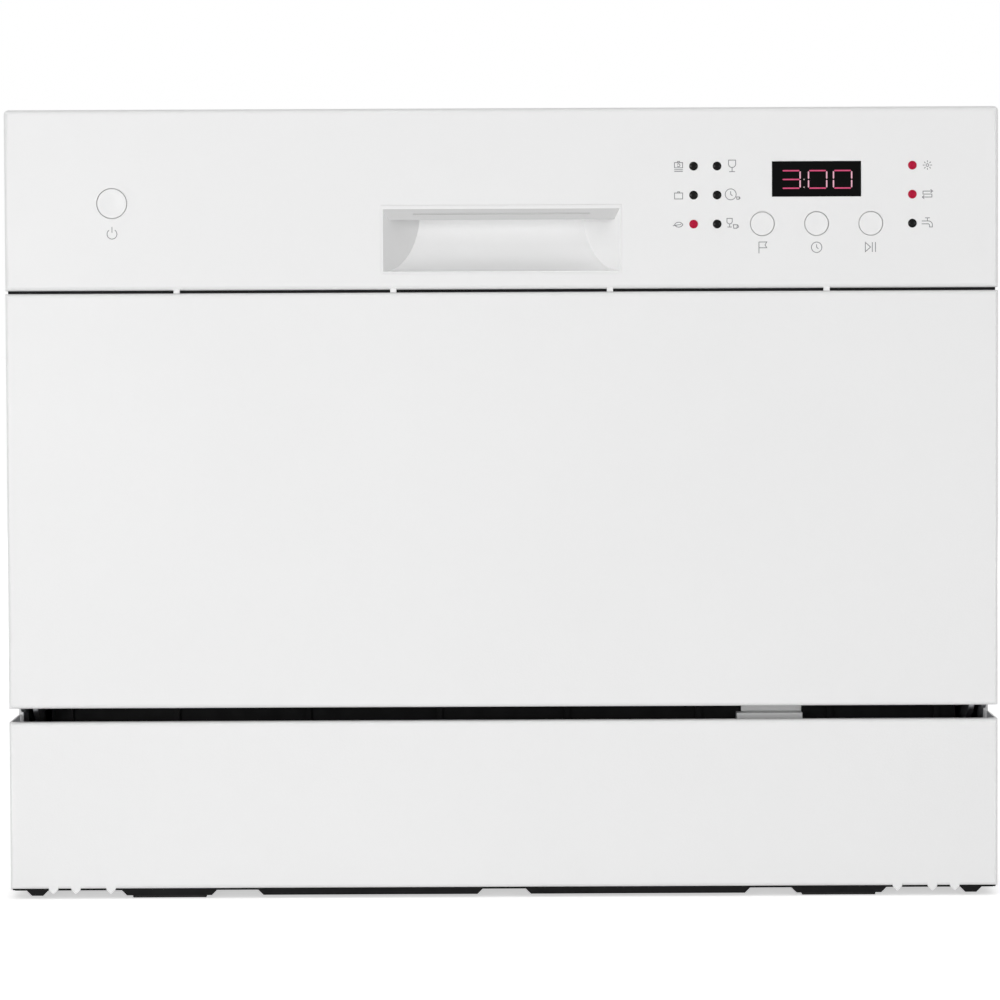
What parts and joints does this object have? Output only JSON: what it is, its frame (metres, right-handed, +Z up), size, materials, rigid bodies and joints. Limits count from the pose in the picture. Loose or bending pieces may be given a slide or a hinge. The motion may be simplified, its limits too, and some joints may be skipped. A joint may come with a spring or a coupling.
{
  "type": "countertop dishwasher",
  "caption": "White countertop dishwasher with a drop-down door, a control console above it and a wire rack inside.",
  "frame": {"origin": "centre of the footprint on the surface that the feet stand on", "axes": "+X to the right as seen from the front, +Y to the back (the door faces -Y), +Z up"},
  "size_m": [0.55, 0.5, 0.438],
  "materials": {
    "white_enamel": "satin white powder coat",
    "white_plastic": "satin white moulded plastic",
    "black_plastic": "matt black moulded plastic",
    "foot_rubber": "black rubber",
    "gasket_rubber": "dark grey soft rubber",
    "stainless": "brushed stainless steel",
    "zinc_steel": "bright zinc-plated steel",
    "spring_steel": "bright spring steel",
    "wire_coating": "steel wire coated in pale grey polyamide",
    "grey_plastic": "mid grey moulded polypropylene",
    "pale_plastic": "milky natural polypropylene",
    "blue_plastic": "blue moulded polypropylene",
    "hose_rubber": "black rubber hose",
    "insulation": "bitumen sound-deadening mat",
    "window_black": "glossy smoked black acrylic",
    "lens": "glossy dark red acrylic",
    "board_green": "green glass-epoxy board"
  },
  "bodies": {
    "cabinet": {"base_tray": "black_plastic", "rubber_feet": "foot_rubber", "kick_plate": "white_enamel", "frame_clip": "white_plastic", "side_panel_left": "white_enamel", "side_panel_right": "white_enamel", "worktop": "white_enamel", "rear_panel": "zinc_steel", "front_frame": "stainless", "door_gasket": "gasket_rubber", "tub_wrap": "stainless", "tub_back": "stainless", "tub_floor": "stainless", "rack_rails": "stainless", "sump": "grey_plastic", "filter_plate": "stainless", "heating_element": "stainless", "softener_tank": "pale_plastic", "wash_pump": "grey_plastic", "drain_pump": "black_plastic", "inlet_valve": "pale_plastic", "drain_outlet": "grey_plastic", "air_break": "pale_plastic", "internal_hoses": "hose_rubber", "cord_gland": "black_plastic", "latch_strike": "zinc_steel", "hinge_brackets": "zinc_steel", "hinge_springs": "spring_steel", "cabinet_screws": "zinc_steel"},
    "door": {"door_panel": "white_enamel", "door_liner": "stainless", "door_insulation": "insulation", "hinge_arms": "zinc_steel", "door_seal_strip": "gasket_rubber", "door_screws": "zinc_steel", "console": "white_plastic", "handle_recess": "white_plastic", "latch_housing": "black_plastic", "display_window": "window_black", "led_lenses": "lens", "control_board": "board_green", "dispenser_body": "grey_plastic"},
    "rack": {"rack_frame": "wire_coating"},
    "filter": {"filter_core": "grey_plastic"},
    "spray": {"spray_arm": "grey_plastic"},
    "salt_lid": {"salt_cap": "grey_plastic"},
    "float": {"overflow_float": "white_plastic"},
    "lever": {"handle_lever": "white_plastic"},
    "hook": {"latch_hook": "zinc_steel"},
    "power": {"button_power": "white_plastic"},
    "program": {"button_program": "white_plastic"},
    "delay": {"button_delay": "white_plastic"},
    "start": {"button_start": "white_plastic"},
    "dispenser_slide": {"dispenser_lid": "grey_plastic"},
    "rinse_aid": {"rinse_aid_cap": "blue_plastic"},
    "tines": {"plate_tines": "wire_coating"},
    "shelf": {"cup_shelf": "wire_coating"},
    "basket": {"cutlery_basket": "grey_plastic"},
    "wheels_a": {"wheels_front": "grey_plastic"},
    "wheels_b": {"wheels_rear": "grey_plastic"}
  },
  "joints": [
    {"name": "door_hinge", "type": "hinge", "parent": "cabinet", "child": "door", "pos_m": [0, -0.24, 0.1104], "axis": [1, 0, 0], "range_deg": [0, 90], "deforming": ["hinge_springs"]},
    {"name": "rack_slide", "type": "slide", "parent": "cabinet", "child": "rack", "axis": [0, -1, 0], "range_m": [0, 0.11]},
    {"name": "wheels_front_roll", "type": "hinge", "parent": "rack", "child": "wheels_a", "pos_m": [0, -0.148, 0.1597], "axis": [1, 0, 0], "continuous": true},
    {"name": "wheels_rear_roll", "type": "hinge", "parent": "rack", "child": "wheels_b", "pos_m": [0, 0.1048, 0.1597], "axis": [1, 0, 0], "continuous": true},
    {"name": "spray_arm_spin", "type": "hinge", "parent": "cabinet", "child": "spray", "pos_m": [0, 0, 0.14], "axis": [0, 0, 1], "continuous": true},
    {"name": "filter_turn", "type": "hinge", "parent": "cabinet", "child": "filter", "pos_m": [0.078, -0.05, 0.1], "axis": [0, 0, 1], "range_deg": [0, 90]},
    {"name": "salt_cap_turn", "type": "hinge", "parent": "cabinet", "child": "salt_lid", "pos_m": [-0.172, 0.135, 0.13], "axis": [0, 0, 1], "range_deg": [0, 180]},
    {"name": "float_rise", "type": "slide", "parent": "cabinet", "child": "float", "axis": [0, 0, 1], "range_m": [0, 0.01]},
    {"name": "lever_pull", "type": "hinge", "parent": "door", "child": "lever", "pos_m": [0, -0.237, 0.3925], "axis": [-1, 0, 0], "range_deg": [0, 12], "stiffness_Nm_per_rad": 0.15},
    {"name": "hook_lift", "type": "hinge", "parent": "door", "child": "hook", "pos_m": [0, -0.2225, 0.427], "axis": [1, 0, 0], "range_deg": [0, 8]},
    {"name": "power_press", "type": "slide", "parent": "door", "child": "power", "axis": [0, 1, 0], "range_m": [0, 0.0012], "stiffness_N_per_m": 350},
    {"name": "program_press", "type": "slide", "parent": "door", "child": "program", "axis": [0, 1, 0], "range_m": [0, 0.0012], "stiffness_N_per_m": 350},
    {"name": "delay_press", "type": "slide", "parent": "door", "child": "delay", "axis": [0, 1, 0], "range_m": [0, 0.0012], "stiffness_N_per_m": 350},
    {"name": "start_press", "type": "slide", "parent": "door", "child": "start", "axis": [0, 1, 0], "range_m": [0, 0.0012], "stiffness_N_per_m": 350},
    {"name": "dispenser_open", "type": "slide", "parent": "door", "child": "dispenser_slide", "axis": [0, 0, -1], "range_m": [0, 0.05]},
    {"name": "rinse_aid_turn", "type": "hinge", "parent": "door", "child": "rinse_aid", "pos_m": [0.076, -0.2055, 0.268], "axis": [0, 1, 0], "range_deg": [0, 90]},
    {"name": "tines_fold", "type": "hinge", "parent": "rack", "child": "tines", "pos_m": [0, 0.0124, 0.1659], "axis": [-1, 0, 0], "range_deg": [0, 90]},
    {"name": "shelf_fold", "type": "hinge", "parent": "rack", "child": "shelf", "pos_m": [-0.1996, 0, 0.2579], "axis": [0, -1, 0], "range_deg": [0, 90]},
    {"name": "basket_lift", "type": "slide", "parent": "rack", "child": "basket", "axis": [0, 0, 1], "range_m": [0, 0.115]}
  ],
  "couplings": [
    {"joint": "rack_slide", "follows": "door_hinge", "m_per_rad": 0.07},
    {"joint": "wheels_front_roll", "follows": "door_hinge", "ratio": 5.8333},
    {"joint": "wheels_rear_roll", "follows": "door_hinge", "ratio": 5.8333},
    {"joint": "hook_lift", "follows": "lever_pull", "ratio": 0.6667}
  ]
}
